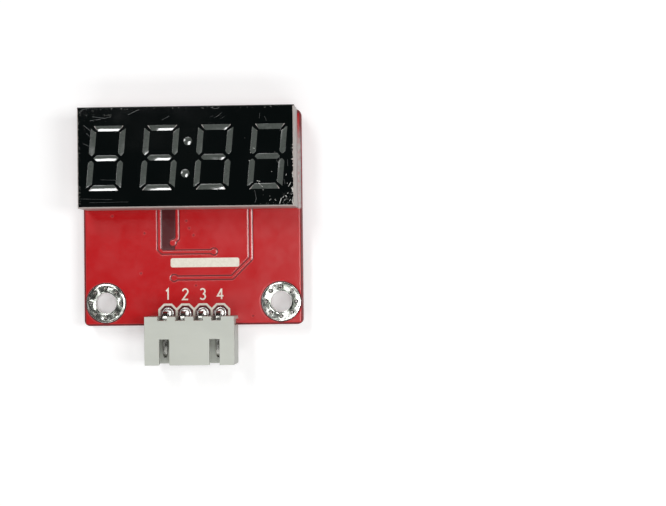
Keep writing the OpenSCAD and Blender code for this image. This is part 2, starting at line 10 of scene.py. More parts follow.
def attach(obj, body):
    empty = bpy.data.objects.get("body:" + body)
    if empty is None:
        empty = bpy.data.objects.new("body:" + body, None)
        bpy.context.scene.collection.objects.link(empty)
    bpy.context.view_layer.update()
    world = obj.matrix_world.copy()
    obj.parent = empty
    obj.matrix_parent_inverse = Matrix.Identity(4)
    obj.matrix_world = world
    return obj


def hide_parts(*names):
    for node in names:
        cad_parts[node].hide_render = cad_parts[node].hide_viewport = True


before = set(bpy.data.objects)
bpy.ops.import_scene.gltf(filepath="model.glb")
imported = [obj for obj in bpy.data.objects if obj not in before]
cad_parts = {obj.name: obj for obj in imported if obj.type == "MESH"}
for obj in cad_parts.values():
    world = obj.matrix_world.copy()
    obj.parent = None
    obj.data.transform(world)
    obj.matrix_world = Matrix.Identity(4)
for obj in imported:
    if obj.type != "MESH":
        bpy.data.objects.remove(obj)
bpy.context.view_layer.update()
mm = 0.001                    # one millimetre in metres
print("frame loaded")


def smooth(low, high, value):
    # a share that eases from 0 at low to 1 at high: 3t^2 - 2t^3
    t = np.clip((value - low) / (high - low), 0.0, 1.0)
    return t * t * (3.0 - 2.0 * t)


def rollingNoise(x, y, size, seed, waves=8):
    # sum of sine waves of random direction, phase and length round one size, between about -1 and 1
    rng = np.random.default_rng(seed)
    lowest, highest = (0, 0, 0.6), (math.tau, math.tau, 1.7)
    total = np.zeros_like(x)
    for angle, phase, stretch in rng.uniform(lowest, highest, (waves, 3)):
        along = x * math.cos(angle) + y * math.sin(angle)
        total = total + np.sin(along * math.tau * stretch / size + phase)
    return total / (waves / 2)


def gridQuads(rows, cols, wrap=False):
    # the four corners of each cell of a grid, row after row
    row, col = np.meshgrid(np.arange(rows - 1), np.arange(cols if wrap else cols - 1), indexing="ij")
    here = row * cols + col
    beside = row * cols + (col + 1) % cols
    return np.stack([here, beside, beside + cols, here + cols], axis=-1).reshape(-1, 4)


def distanceToPath(x, y, path):
    # least distance from each point to the straight stretches of a path
    best = np.full(np.shape(x), np.inf)
    for (ax, ay), (bx, by) in zip(path[:-1], path[1:]):
        dx, dy = bx - ax, by - ay
        t = np.clip(((x - ax) * dx + (y - ay) * dy) / (dx * dx + dy * dy), 0.0, 1.0)
        best = np.minimum(best, np.hypot(x - ax - t * dx, y - ay - t * dy))
    return best


def distanceToBox(x, y, low, high):
    # signed distance to a rectangle, negative inside
    dx = np.maximum(low[0] - x, x - high[0])
    dy = np.maximum(low[1] - y, y - high[1])
    return np.where((dx > 0) & (dy > 0), np.hypot(dx, dy), np.maximum(dx, dy))


def raised(flat, z):
    # points of a plane lifted to one height, or each to its own
    return np.column_stack([flat, np.broadcast_to(z, len(flat))])


def placePiece(name, mesh, material):
    # a mesh becomes a piece that rides on the part's one body
    mesh.materials.append(material)
    piece = bpy.data.objects.new(name, mesh)
    bpy.context.scene.collection.objects.link(piece)
    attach(piece, "root")
    return piece


def makePiece(name, points, faces, material, smoothShade=True, values=None, weld=0.0):
    # points in millimetres go into a mesh in metres; values is a dictionary of point attributes;
    # weld, in metres, joins the points that lie on each other where patches meet
    mesh = bpy.data.meshes.new(name)
    corners = faces.tolist() if isinstance(faces, np.ndarray) else faces
    mesh.from_pydata((np.asarray(points, float) * mm).tolist(), [], corners)
    for key, numbers in (values or {}).items():
        layer = mesh.attributes.new(key, "FLOAT", "POINT")
        layer.data.foreach_set("value", np.asarray(numbers, np.float32))
    mesh.polygons.foreach_set("use_smooth", np.full(len(mesh.polygons), smoothShade))
    if weld:
        built = bmesh.new()
        built.from_mesh(mesh)
        bmesh.ops.remove_doubles(built, verts=built.verts, dist=weld)
        built.to_mesh(mesh)
        built.free()
    return placePiece(name, mesh, material)


def joinParts(name, parts, material, smoothShade=False):
    # several sets of points and faces become one piece
    points, faces, count = [], [], 0
    for partPoints, partFaces in parts:
        points.append(partPoints)
        faces += [[i + count for i in face] for face in partFaces]
        count += len(partPoints)
    return makePiece(name, np.concatenate(points), faces, material, smoothShade)


def addWall(piece, thickness):
    # a surface gets its thickness on its inner side
    wall = piece.modifiers.new("wall", "SOLIDIFY")
    wall.thickness = thickness * mm
    wall.offset = -1


def dressedCopy(name, node, material, slotName, bevel=0.0, steps=2, sharp=40, level=1, weld=2e-7):
    # merged copy of a CAD node with its edges broken, shaded smooth below the sharp angle; faces that turn
    # by less than the level angle become one; angles in degrees, weld in metres
    built = bmesh.new()
    built.from_mesh(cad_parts[node].data)
    bmesh.ops.remove_doubles(built, verts=built.verts, dist=weld)
    bmesh.ops.dissolve_limit(built, angle_limit=math.radians(level), verts=built.verts, edges=built.edges)
    for face in built.faces:
        face.smooth = True
    for edge in built.edges:
        if len(edge.link_faces) == 2:
            edge.smooth = edge.calc_face_angle(0) < math.radians(sharp)
    mesh = bpy.data.meshes.new(name)
    built.to_mesh(mesh)
    built.free()
    piece = placePiece(name, mesh, material)
    if bevel:
        edges = piece.modifiers.new("edges", "BEVEL")
        edges.width = bevel * mm
        edges.segments = steps
        edges.limit_method = "ANGLE"
        edges.angle_limit = math.radians(sharp)
        edges.use_clamp_overlap = True
        edges.harden_normals = True
    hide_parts(node)


def tone(red, green, blue):
    # a colour as seen on screen, 0 to 255, turned into the linear values a shader takes
    parts = [c / 255.0 for c in (red, green, blue)]
    return tuple(c / 12.92 if c <= 0.04045 else ((c + 0.055) / 1.055) ** 2.4 for c in parts) + (1.0,)


def metalTone(red, green, blue):
    # how much of each colour a bare metal mirrors, 0 to 1
    return (red, green, blue, 1.0)


class surfaceFinish:
    # a material with its main shader, and short calls that add the usual nodes to it
    def __init__(self, name, color, roughness, metallic=0.0, specular=0.5, coat=0.0, coatRoughness=0.1):
        self.material = bpy.data.materials.new(name)
        self.material.use_nodes = True
        self.tree = self.material.node_tree
        self.shader = self.tree.nodes["Principled BSDF"]
        for socket, value in (("Base Color", color), ("Roughness", roughness), ("Metallic", metallic),
                              ("Specular IOR Level", specular), ("Coat Weight", coat),
                              ("Coat Roughness", coatRoughness)):
            self.set(socket, value)
        self.place = self.tree.nodes.new("ShaderNodeTexCoord").outputs["Object"]

    def set(self, socket, value):
        self.shader.inputs[socket].default_value = value

    def join(self, source, socket):
        self.tree.links.new(source, self.shader.inputs[socket])

    def add(self, kind, inputs, **settings):
        # a new node; each of its inputs takes another node's output, or a plain value
        node = self.tree.nodes.new("ShaderNode" + kind)
        for key, value in settings.items():
            setattr(node, key, value)
        for socket, value in inputs.items():
            if isinstance(value, bpy.types.NodeSocket):
                self.tree.links.new(value, node.inputs[socket])
            else:
                node.inputs[socket].default_value = value
        return node

    def stretched(self, scale, turn=0.0):
        # the place turned about Z, then squeezed, so that a pattern runs in streaks along the turned X
        turned = self.add("Mapping", {"Vector": self.place, "Rotation": (0.0, 0.0, math.radians(-turn))})
        return self.add("Mapping", {"Vector": turned.outputs["Vector"], "Scale": scale}).outputs["Vector"]

    def noise(self, size, detail=3.0, rough=0.5, at=None):
        # blotches of a size in millimetres
        inputs = {"Vector": at or self.place, "Scale": 1.0 / (size * mm), "Detail": detail, "Roughness": rough}
        return self.add("TexNoise", inputs).outputs["Fac"]

    def dots(self, size, low, high):
        # a round speck in the middle of each cell of a size in millimetres
        cells = self.add("TexVoronoi", {"Vector": self.place, "Scale": 1.0 / (size * mm)})
        return self.span(cells.outputs["Distance"], low, high, 1.0, 0.0)

    def span(self, value, low, high, toLow=0.0, toHigh=1.0):
        # a value between low and high becomes one between toLow and toHigh, with eased ends
        inputs = {"Value": value, "From Min": low, "From Max": high, "To Min": toLow, "To Max": toHigh}
        return self.add("MapRange", inputs, interpolation_type="SMOOTHSTEP").outputs["Result"]

    def blotches(self, size, low, high, detail=3.0, rough=0.5, at=None):
        # noise with its range drawn out to 0 and 1
        return self.span(self.noise(size, detail, rough, at), low, high)

    def calc(self, kind, *values):
        # the first two values taken together, then that with the next one, and so on
        result = values[0]
        for value in values[1:]:
            result = self.add("Math", {0: result, 1: value}, operation=kind).outputs["Value"]
        return result

    def times(self, *values):
        return self.calc("MULTIPLY", *values)

    def most(self, *values):
        return self.calc("MAXIMUM", *values)

    def axis(self, name):
        # one coordinate of the place, in millimetres
        return self.times(self.add("SeparateXYZ", {0: self.place}).outputs[name], 1.0 / mm)

    def within(self, low, high, blur):
        # 1 inside a box of X and Y in millimetres, easing to 0 over blur outside it
        x, y = self.axis("X"), self.axis("Y")
        sides = [(self.span(value, start - blur, start), self.span(value, end, end + blur, 1.0, 0.0))
                 for value, start, end in ((x, low[0], high[0]), (y, low[1], high[1]))]
        return self.times(*sides[0], *sides[1])

    def attribute(self, name):
        return self.add("Attribute", {}, attribute_name=name).outputs["Fac"]

    def mix(self, share, first, second):
        # sockets 0, 6 and 7 are the share and the two colours
        return self.add("Mix", {0: share, 6: first, 7: second}, data_type="RGBA").outputs[2]

    def vary(self, low, high, size, detail=3.0):
        # roughness that drifts between two values
        self.join(self.span(self.noise(size, detail), 0.3, 0.7, low, high), "Roughness")

    def bump(self, height, depth, after=None):
        # depth in millimetres between height 0 and height 1, on top of another bump where one is given
        inputs = {"Strength": 1.0, "Distance": depth * mm, "Height": height}
        if after is not None:
            inputs["Normal"] = after
        normal = self.add("Bump", inputs).outputs["Normal"]
        self.join(normal, "Normal")
        return normal


def plainFinish(name, color, darker, roughness, spread, blotch, grain, depth, **shader):
    # colour that drifts between two tones, roughness that drifts about its middle, and a fine grain
    finish = surfaceFinish(name, color, roughness, **shader)
    finish.base = finish.mix(finish.blotches(blotch, 0.35, 0.65, 4.0, 0.6), darker, color)
    finish.join(finish.base, "Base Color")
    finish.vary(roughness - spread, roughness + spread, blotch * 0.4, 5.0)
    finish.bump(finish.noise(grain, 3.0, 0.6), depth)
    return finish


maskLook = {"copper": tone(184, 8, 14), "bare": tone(78, 16, 20), "haze": tone(204, 50, 56),
            "hazeShare": 0.18, "dustShare": 0.1,
            "flux": tone(182, 177, 175), "fluxX": (14.9, 15.05), "fluxLow": (13.0, 13.4),
            "fluxTop": (25.6, 21.6), "gloss": (0.18, 0.25), "dullSlope": 0.45, "glintGloss": 0.16,
            "ripple": 0.003, "grain": 0.0006}


def solderMask(name, hasFlux=False):
    # red lacquer: bright over copper, dark over bare laminate, with faint haze, dust and ripples; its slopes
    # are coated where the shine attribute says so and dull elsewhere; whitish flux dried on the front
    look = maskLook
    finish = surfaceFinish(name, look["copper"], look["gloss"][0])
    # the copper share attribute is also lowered over the dimples above the vias, as painted shade
    copper, shine = finish.attribute("copperShareAndDimpleShade"), finish.attribute("shine")
    cloud = finish.times(finish.blotches(9.0, 0.35, 0.7, 3.0, 0.55), look["hazeShare"])
    dust = finish.times(finish.blotches(0.5, 0.66, 0.74, 2.0, 0.7), look["dustShare"])
    lit = finish.mix(dust, finish.mix(cloud, look["copper"], look["haze"]), look["haze"])
    base = finish.mix(finish.span(copper, 0.35, 0.85), look["bare"], lit)
    if hasFlux:
        crust = finish.span(finish.noise(0.8, 5.0, 0.7), 0.3, 0.6, 0.6, 0.98)
        x, y = finish.axis("X"), finish.axis("Y")
        strip = finish.times(finish.span(x, *look["fluxX"]), finish.span(y, *look["fluxLow"]),
                             finish.span(y, *look["fluxTop"]))
        base = finish.mix(finish.times(crust, strip), base, look["flux"])
    finish.join(base, "Base Color")
    slopes = finish.times(copper, finish.calc("SUBTRACT", 1.0, copper), 4.0)     # 1 halfway down a slope
    finish.join(finish.times(slopes, shine), "Coat Weight")
    finish.set("Coat Roughness", look["glintGloss"])
    dull = finish.times(finish.span(slopes, 0.05, 0.4), finish.calc("SUBTRACT", 1.0, shine))
    gloss = finish.span(finish.noise(3.0, 5.0, 0.6), 0.3, 0.7, *look["gloss"])
    finish.join(finish.calc("ADD", gloss, finish.times(dull, look["dullSlope"])), "Roughness")
    ripple = finish.bump(finish.noise(1.6, 2.0, 0.5), look["ripple"])
    finish.bump(finish.noise(0.16, 2.0, 0.6), look["grain"], after=ripple)
    return finish.material


def laminateSides():
    # board's own sides: lacquer that ran over glass and resin, with a fibrous cut
    dark, pale, depth = tone(112, 12, 20), tone(158, 34, 40), 0.012
    finish = surfaceFinish("laminateSides", dark, 0.5)
    layers = finish.noise(0.12, 3.0, 0.6, at=finish.stretched((0.2, 0.2, 1.6)))
    finish.join(finish.mix(finish.span(layers, 0.35, 0.7), dark, pale), "Base Color")
    finish.join(finish.span(layers, 0.3, 0.7, 0.42, 0.62), "Roughness")
    finish.bump(layers, depth)
    return finish.material


smoothTin = {"patch": 0.9, "detail": 4.0, "share": (0.45, 0.7), "dull": metalTone(0.6, 0.59, 0.58)}
landTin = {"patch": 1.7, "detail": 2.0, "share": (0.4, 0.62), "dull": metalTone(0.2, 0.215, 0.19),
           "pit": metalTone(0.1, 0.1, 0.085)}


def wavyTin(name, color, roughness, look=smoothTin, wave=0.006):
    # hot-air levelled tin: bright, slightly yellow, with dull grey patches; where a pit colour is given, the
    # pits are darkened by flux left there together with painted shade
    finish = surfaceFinish(name, color, roughness, metallic=1.0)
    patches = finish.blotches(look["patch"], *look["share"], look["detail"], 0.6)
    base = finish.mix(patches, color, look["dull"])
    if "pit" in look:
        # pit darkens the craters round the small holes: flux left in them together with painted shade
        base = finish.mix(finish.attribute("pit"), base, look["pit"])
    finish.join(base, "Base Color")
    finish.vary(roughness * 0.85, roughness * 1.3, 0.6)
    finish.bump(finish.noise(0.9, 1.0, 0.5), wave)
    return finish.material


def pinTin(color, darker, black, tipY):
    # drawn tin on square pins, painted almost black towards their tips in the header's mouth as painted shade
    finish = plainFinish("tinnedPin", color, darker, 0.2, 0.07, 0.8, 0.06, 0.0012, metallic=1.0)
    # painted shade: the colour goes almost black towards the tips, for the dark inside the header's slots
    paintedTipShade = finish.span(finish.axis("Y"), *tipY, 1.0, 0.0)
    finish.join(finish.mix(paintedTipShade, finish.base, black), "Base Color")
    return finish


faceLook = {"black": tone(2, 6, 6), "chip": tone(198, 198, 192), "gloss": (0.05, 0.08), "wornGloss": 0.4,
            "ripple": 0.0006, "chipDepth": 0.012, "rightX": (14.5, 14.9), "rightY": (22.6, 20.5),
            # corners of a worn zone, the blur round it and how much of the black is gone there
            "lowCorner": ((13.9, 13.2), (15.1, 14.4), 0.9, 0.8),
            "digitDust": ((8.8, 14.2), (14.4, 22.0), 1.0, 0.7),
            "lowDust": ((9.5, 13.3), (14.9, 14.9), 1.0, 0.5),
            "upperCorner": ((-14.9, 24.9), (-11.2, 27.2), 1.6, 0.11),
            "leftEdge": ((-15.1, 13.2), (-14.75, 27.2), 0.2, 0.2),
            "topEdge": ((-15.1, 26.9), (15.1, 27.3), 0.15, 0.2),
            "hairY": (23.0, 25.6), "hairShare": 0.09, "hairTurn": 34.0}


def facePrint():
    # black glossy print: flakes off along its right edge, dust, rubbed corner, hair lines
    look = faceLook
    finish = surfaceFinish("facePrint", look["black"], look["gloss"][1], specular=0.45)

    def zone(name, *patterns):
        low, high, blur, share = look[name]
        return finish.times(*patterns, share, finish.within(low, high, blur))

    x, y = finish.axis("X"), finish.axis("Y")
    flakes = finish.blotches(0.3, 0.6, 0.66, 3.0, 0.7)
    patchy = finish.blotches(1.6, 0.45, 0.58, 2.0)
    rightChips = finish.times(flakes, patchy, finish.span(x, *look["rightX"]), finish.span(y, *look["rightY"]))
    lowChips = zone("lowCorner", flakes)
    digitDust = zone("digitDust", finish.dots(0.55, 0.07, 0.13), finish.blotches(1.0, 0.55, 0.61, 2.0))
    lowDust = zone("lowDust", finish.dots(0.4, 0.06, 0.12), finish.blotches(0.9, 0.5, 0.56, 2.0))
    cornerRub = zone("upperCorner", finish.blotches(0.6, 0.56, 0.7, 5.0, 0.72))
    edgeNoise = finish.blotches(0.5, 0.56, 0.66, 5.0, 0.7)
    edgeRub = finish.most(zone("leftEdge", edgeNoise), zone("topEdge", edgeNoise))
    hairs = finish.blotches(0.1, 0.71, 0.75, 1.0, 0.5, at=finish.stretched((0.05, 1.0, 1.0), look["hairTurn"]))
    hairs = finish.times(hairs, look["hairShare"], finish.blotches(4.0, 0.54, 0.62, 1.0),
                         finish.span(y, *look["hairY"]))
    wear = finish.most(rightChips, lowChips, digitDust, lowDust, cornerRub, edgeRub, hairs)
    finish.join(finish.mix(wear, look["black"], look["chip"]), "Base Color")
    gloss = finish.span(finish.noise(6.0, 3.0), 0.35, 0.65, *look["gloss"])
    finish.join(finish.calc("ADD", gloss, finish.times(wear, look["wornGloss"])), "Roughness")
    ripple = finish.bump(finish.noise(2.2, 2.0), look["ripple"])
    finish.bump(finish.most(rightChips, lowChips, digitDust, hairs), -look["chipDepth"], after=ripple)
    return finish.material


shellLook = {"pale": tone(187, 179, 174), "grey": tone(179, 170, 165), "redReflection": tone(176, 146, 144),
             "overrun": tone(6, 8, 8), "overrunY": (27.0, 27.06), "overrunZ": (8.5, 8.6), "redReflectionZ": (4.5, 1.8),
             "redReflectionShare": 0.35, "texture": 0.004}


def paleShell():
    # pale moulded housing, blackened by the print along its top edge, with a painted reflection of the red
    # board on the wall towards the board, in patches
    look = shellLook
    finish = surfaceFinish("displayShell", look["pale"], 0.42, specular=0.4)
    y, z = finish.axis("Y"), finish.axis("Z")
    overrun = finish.times(finish.span(y, *look["overrunY"]), finish.span(z, *look["overrunZ"]))
    reflectionPatches = finish.blotches(0.8, 0.3, 0.7, 4.0, 0.6)
    # painted reflection: towards the board the wall is mixed with a pink tone that stands in for the red board
    # mirrored in it
    redReflection = finish.times(finish.span(z, *look["redReflectionZ"]), reflectionPatches, look["redReflectionShare"])
    wall = finish.mix(finish.blotches(0.5, 0.3, 0.7, 4.0, 0.7), look["grey"], look["pale"])
    wall = finish.mix(redReflection, wall, look["redReflection"])
    finish.join(finish.mix(overrun, wall, look["overrun"]), "Base Color")
    finish.vary(0.36, 0.5, 1.2, 4.0)
    finish.bump(finish.noise(0.3, 4.0, 0.6), look["texture"])
    return finish.material


def diffusingResin():
    # unlit olive-grey resin under a clear skin: fine cloud of filler
    dark, pale, unevenness = tone(70, 75, 71), tone(82, 87, 83), 0.0012
    finish = surfaceFinish("segmentResin", pale, 0.1, coat=1.0, coatRoughness=0.04)
    finish.join(finish.mix(finish.blotches(0.35, 0.3, 0.7, 5.0, 0.7), dark, pale), "Base Color")
    finish.vary(0.07, 0.12, 1.1)
    finish.bump(finish.noise(0.7, 2.0), unevenness)
    return finish.material


def whiteNylon():
    # off-white moulded nylon: slightly translucent, satin, faint flow marks and a fine texture
    grey, pale, texture = tone(188, 191, 182), tone(195, 198, 189), 0.003
    depths = (0.9 * mm, 0.85 * mm, 0.7 * mm)      # how deep red, green and blue light go
    finish = surfaceFinish("headerNylon", pale, 0.42, specular=0.4)
    flow = finish.blotches(3.2, 0.3, 0.7, 3.0, 0.55, at=finish.stretched((0.35, 1.0, 0.7)))
    finish.join(finish.mix(flow, grey, pale), "Base Color")
    finish.vary(0.36, 0.5, 0.8, 4.0)
    finish.set("Subsurface Weight", 0.12)
    finish.set("Subsurface Radius", depths)
    finish.set("Subsurface Scale", 0.5)
    finish.bump(finish.noise(0.12, 3.0, 0.6), texture)
    return finish.material


# name, colour, darker colour, roughness, its spread, sizes of blotch and grain and the grain's depth in mm
plainFinishes = {
    "lead": ("chipLead", metalTone(0.74, 0.73, 0.71), metalTone(0.58, 0.57, 0.56), 0.34, 0.08, 0.7, 0.05,
             0.0015),
    "seal": ("sealingResin", tone(216, 212, 190), tone(196, 190, 164), 0.22, 0.08, 2.4, 0.4, 0.004),
    "ledBoard": ("ledBoard", tone(52, 96, 60), tone(40, 80, 50), 0.45, 0.1, 1.8, 0.1, 0.003),
    "die": ("ledDie", tone(206, 176, 116), tone(168, 140, 90), 0.3, 0.1, 0.1, 0.02, 0.0005),
    "chip": ("chipEpoxy", tone(40, 40, 42), tone(30, 30, 32), 0.6, 0.1, 1.4, 0.05, 0.004),
    "resistor": ("resistorGlaze", tone(34, 34, 36), tone(24, 24, 27), 0.34, 0.1, 0.6, 0.05, 0.002),
    "capacitor": ("capacitorCeramic", tone(178, 146, 110), tone(158, 126, 92), 0.48, 0.08, 0.5, 0.04, 0.002),
    "print": ("legendPrint", tone(230, 225, 211), tone(220, 214, 200), 0.55, 0.1, 0.35, 0.05, 0.001),
    "faint": ("faceHairs", tone(66, 70, 69), tone(24, 28, 28), 0.3, 0.1, 0.5, 0.05, 0.001),
    "bright": ("faceScratches", tone(214, 214, 208), tone(120, 122, 118), 0.4, 0.1, 0.4, 0.05, 0.001)}
shaderExtras = {"lead": {"metallic": 1.0}, "seal": {"coat": 0.4}, "die": {"metallic": 0.4}}
finishes = {
    "maskFront": solderMask("maskFront", hasFlux=True),
    "maskBack": solderMask("maskBack"),
    "sides": laminateSides(),
    # one tin on both fixing lands, in two copies: the left one darker as painted shade, the right one brighter
    # as painted light
    "landLeftPaintedShade": wavyTin("fixingTinLeftPaintedShade", metalTone(0.47, 0.49, 0.45), 0.2, landTin),
    "landRightPaintedLight": wavyTin("fixingTinRightPaintedLight", metalTone(0.72, 0.74, 0.7), 0.2, landTin),
    "bore": wavyTin("boreTin", metalTone(0.7, 0.69, 0.66), 0.3),
    "pad": wavyTin("padTin", metalTone(0.9, 0.9, 0.87), 0.34),
    "solder": wavyTin("brightSolder", metalTone(0.9, 0.9, 0.88), 0.3),
    "pin": pinTin(metalTone(0.29, 0.29, 0.27), metalTone(0.2, 0.2, 0.185), metalTone(0.03, 0.03, 0.025),
                  (-7.35, -7.0)).material,
    "shell": paleShell(),
    "facePrint": facePrint(),
    "resin": diffusingResin(),
    "nylon": whiteNylon()}
for key, settings in plainFinishes.items():
    finishes[key] = plainFinish(*settings, **shaderExtras.get(key, {})).material
print("finishes made")

# the board's outline, the copper's setback from it, and the mask film on both its faces, with fine steps
# up to the display's lower edge
board = {"x": 15.6, "bottom": -3.23, "top": 27.27, "corner": 0.8, "setback": 0.3,
         "edge": 0.012, "rimDrop": 0.05, "rimWidth": 0.14, "wall": 0.016, "underLand": 0.3, "fineTop": 13.62,
         "slope": 0.145, "wave": 0.0015, "waveSize": 4.0, "waveSeed": 7, "steep": (0.72, 0.95),
         "shineReach": (0.65, 0.75), "dimple": (0.1, 0.28), "dimpleDepth": 0.008, "dimpleShade": 0.45}
# tracks on the front from the display's edge to their end pads, the bare field and the dimples over vias
tracks = {"width": 0.3, "gap": 0.27, "pad": 0.75, "field": ((-4.5, 7.45), (-2.5, 14.22)),
          "paths": [[(-4.78, 14.22), (-4.78, 7.6), (-4.4, 7.2), (3.0, 7.2)],
                    [(-2.23, 14.22), (-2.23, 9.1), (-2.85, 8.5)],
                    [(8.25, 14.22), (8.25, 6.15), (5.6, 3.5), (-2.7, 3.5)]],
          "dimples": [(-11.5, 12.4), (-0.9, 11.6), (-0.5, 10.55), (0.1, 9.55), (-6.9, 9.9), (-7.45, 4.2),
                      (8.5, -2.0), (0.4, 2.4)]}
# tracks on the underside, drawn between the chip's leads, the display's two rows of pins and the header
backTracks = {"lead": 1.27, "jog": 0.635, "chipTop": 11.98, "chipLow": 1.68, "turnY": 12.9, "lowTurnY": 0.9,
              "lowRow": 15.14, "topRow": 25.3, "width": 0.3, "gap": 0.32,
              "smallParts": [[(-9.4, 8.13), (-8.0, 8.13), (-8.0, 13.49), (-6.35, 15.14)],
                             [(-9.4, 5.53), (-8.7, 5.53), (-8.7, 22.95), (-6.35, 25.3)],
                             [(9.4, 6.83), (8.4, 6.83), (8.4, 13.09), (6.35, 15.14)]]}
# radii of a fixing land's bore, rim and etched ring, its small holes, and the tin film on its two faces
land = {"x": 12.5, "bore": 1.5, "outer": 2.75, "bare": 2.97, "ring": 2.125, "hole": 0.155, "count": 8,
        "low": 1.515, "high": 2.74, "frontZ": 1.66, "backZ": -0.06, "steps": 48, "rings": 18, "lift": 0.008,
        "thick": 0.03, "lump": 0.05, "lumpSize": 2.4, "lumpMiddle": 0.5, "lumpSwing": 1.1, "lumpMost": 1.4,
        "boreRoll": 0.24, "outerRoll": 0.26, "crater": (0.135, 0.305), "craterFloor": 0.05,
        "pit": (0.285, 0.375), "weld": 1e-6, "wall": 0.006}
# the header's pins, the etched octagons round their pads and the printed ones outside those
header = {"pinX": [-3.65, -1.15, 1.35, 3.85], "rowY": -1.53, "octagon": 2.26, "outline": 2.48, "line": 0.3}


def boardBox(inset):
    # lowest and highest corners of the board's outline, drawn in by the inset
    return (-board["x"] + inset, board["bottom"] + inset), (board["x"] - inset, board["top"] - inset)


def octagonDistance(x, y, across):
    # greatest of the distances to four pairs of parallel sides, negative inside
    turned = (np.abs(x) + np.abs(y)) / math.sqrt(2.0)
    return np.maximum(np.maximum(np.abs(x), np.abs(y)), turned) - across / 2.0


def pourDistance(x, y, etched):
    # signed distance to the edge of the copper, negative on copper: the pour less what is etched away
    # and less the rings round the fixing lands
    for side in (-1, 1):
        etched = np.minimum(etched, np.hypot(x - side * land["x"], y) - land["bare"])
    return np.maximum(distanceToBox(x, y, *boardBox(board["setback"])), -etched)


def frontCopper(x, y):
    # bands beside the tracks and their end pads, the bare field and the header's octagons are etched away
    onTrack = np.min([distanceToPath(x, y, p) for p in tracks["paths"]], axis=0) - tracks["width"] / 2
    ends = [np.hypot(x - p[-1][0], y - p[-1][1]) for p in tracks["paths"]]
    copper = np.minimum(onTrack, np.min(ends, axis=0) - tracks["pad"] / 2)
    etched = np.maximum(np.minimum(copper - tracks["gap"], distanceToBox(x, y, *tracks["field"])), -copper)
    for pinX in header["pinX"]:
        etched = np.minimum(etched, octagonDistance(x - pinX, y - header["rowY"], header["octagon"]))
    return pourDistance(x, y, etched)


def fannedPaths():
    # from the chip's upper leads in step to the display's lower pins and, between those, to its upper pins;
    # from its lower leads to the header, and from the small parts to the pins that are left
    s = backTracks
    paths = list(s["smallParts"])
    for i in range(10):
        x = (i - 4.5) * s["lead"]
        shifted = x - s["jog"]
        path = [(x, s["chipTop"]), (x, s["turnY"]), (shifted, s["turnY"] + s["jog"])]
        if i % 2 == 0:
            paths.append(path + [(shifted, s["lowRow"])])
        else:
            paths.append(path + [(shifted, s["topRow"] - s["lead"]), (shifted + s["lead"], s["topRow"])])
    for i, pinX in enumerate(header["pinX"]):
        x = (2 * i - 2.5) * s["lead"]
        turned = (pinX, s["lowTurnY"] - abs(x - pinX))
        paths.append([(x, s["chipLow"]), (x, s["lowTurnY"]), turned, (pinX, header["rowY"])])
    return paths


def backCopper(x, y):
    # the bands beside the fanned tracks are etched away
    copper = np.min([distanceToPath(x, y, p) for p in fannedPaths()], axis=0) - backTracks["width"] / 2
    return pourDistance(x, y, np.maximum(copper - backTracks["gap"], -copper))


def maskFilm(name, distance, paths, dimples, base, lift, rise, step, farStep, upward):
    # height field: base level plus the film, raised over copper with a slope just outside its edge, dipped
    # over vias, let down a little along the board's rim; cells over the fixing bores are left out;
    # shine is 1 beside the tracks where the distance to copper grows almost straight towards +X
    s = board
    low, high = boardBox(s["edge"])
    near = np.arange(low[1], s["fineTop"], step)
    far = np.linspace(near[-1], high[1], int((s["top"] - near[-1]) / farStep))
    across = np.linspace(low[0], high[0], int(2 * s["x"] / step))
    x, y = np.meshgrid(across, np.concatenate([near, far[1:]]))
    arcLow, arcHigh = boardBox(s["corner"])
    cx, cy = np.clip(x, arcLow[0], arcHigh[0]), np.clip(y, arcLow[1], arcHigh[1])
    limit = s["corner"] - s["edge"]
    pull = limit / np.maximum(np.hypot(x - cx, y - cy), limit)
    x, y = cx + (x - cx) * pull, cy + (y - cy) * pull        # corners drawn in to their arc
    share = 1.0 - smooth(0.0, s["slope"], distance(x, y))
    reach = s["slope"] / 3
    growth = (distance(x + reach, y) - distance(x - reach, y)) / (2 * reach)
    beside = np.min([distanceToPath(x, y, path) for path in paths], axis=0)
    shine = smooth(*s["steep"], growth) * (1.0 - smooth(*s["shineReach"], beside))
    dip = np.zeros_like(x)
    for dimpleX, dimpleY in dimples:
        dip = np.maximum(dip, 1.0 - smooth(*s["dimple"], np.hypot(x - dimpleX, y - dimpleY)))
    inCorner = (np.abs(x - cx) > 0) & (np.abs(y - cy) > 0)
    fromArc = np.where(inCorner, np.hypot(x - cx, y - cy) - limit, -np.inf)
    rim = -np.maximum(distanceToBox(x, y, low, high), fromArc)
    height = lift + rise * share - s["dimpleDepth"] * dip
    height = height + s["wave"] * rollingNoise(x, y, s["waveSize"], s["waveSeed"])
    height = height - s["rimDrop"] * (1.0 - smooth(0.0, s["rimWidth"], rim)) ** 2
    points = np.stack([x, y, base + upward * height], axis=-1).reshape(-1, 3)
    faces = gridQuads(*x.shape)[:, ::upward]
    middle = points[faces].mean(1)
    fromBore = np.hypot(np.abs(middle[:, 0]) - land["x"], middle[:, 1])
    faces = faces[fromBore > land["outer"] - s["underLand"]]
    used, renumbered = np.unique(faces, return_inverse=True)
    # the copper share is lowered over the dimples, so the mask is darker there: painted shade in the dips over
    # the vias
    shaded = share * (1.0 - s["dimpleShade"] * dip)
    values = {"copperShareAndDimpleShade": shaded.ravel()[used], "shine": shine.ravel()[used]}
    faces = renumbered.reshape(-1, 4)
    piece = makePiece(name, points[used], faces, finishes[name], values=values)
    addWall(piece, s["wall"])


def coatNode(node, key):
    # a CAD node keeps its shape and takes a finish
    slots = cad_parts[node].data.materials
    slots.clear()
    slots.append(finishes[key])


maskFilm("maskFront", frontCopper, tracks["paths"], tracks["dimples"], base=1.55, lift=0.014, rise=0.05,
         step=0.116, farStep=0.6, upward=1)
maskFilm("maskBack", backCopper, fannedPaths(), [], base=0.0, lift=0.012, rise=0.03,
         step=0.155, farStep=0.155, upward=-1)
coatNode("circuit_board", "sides")
print("board dressed")


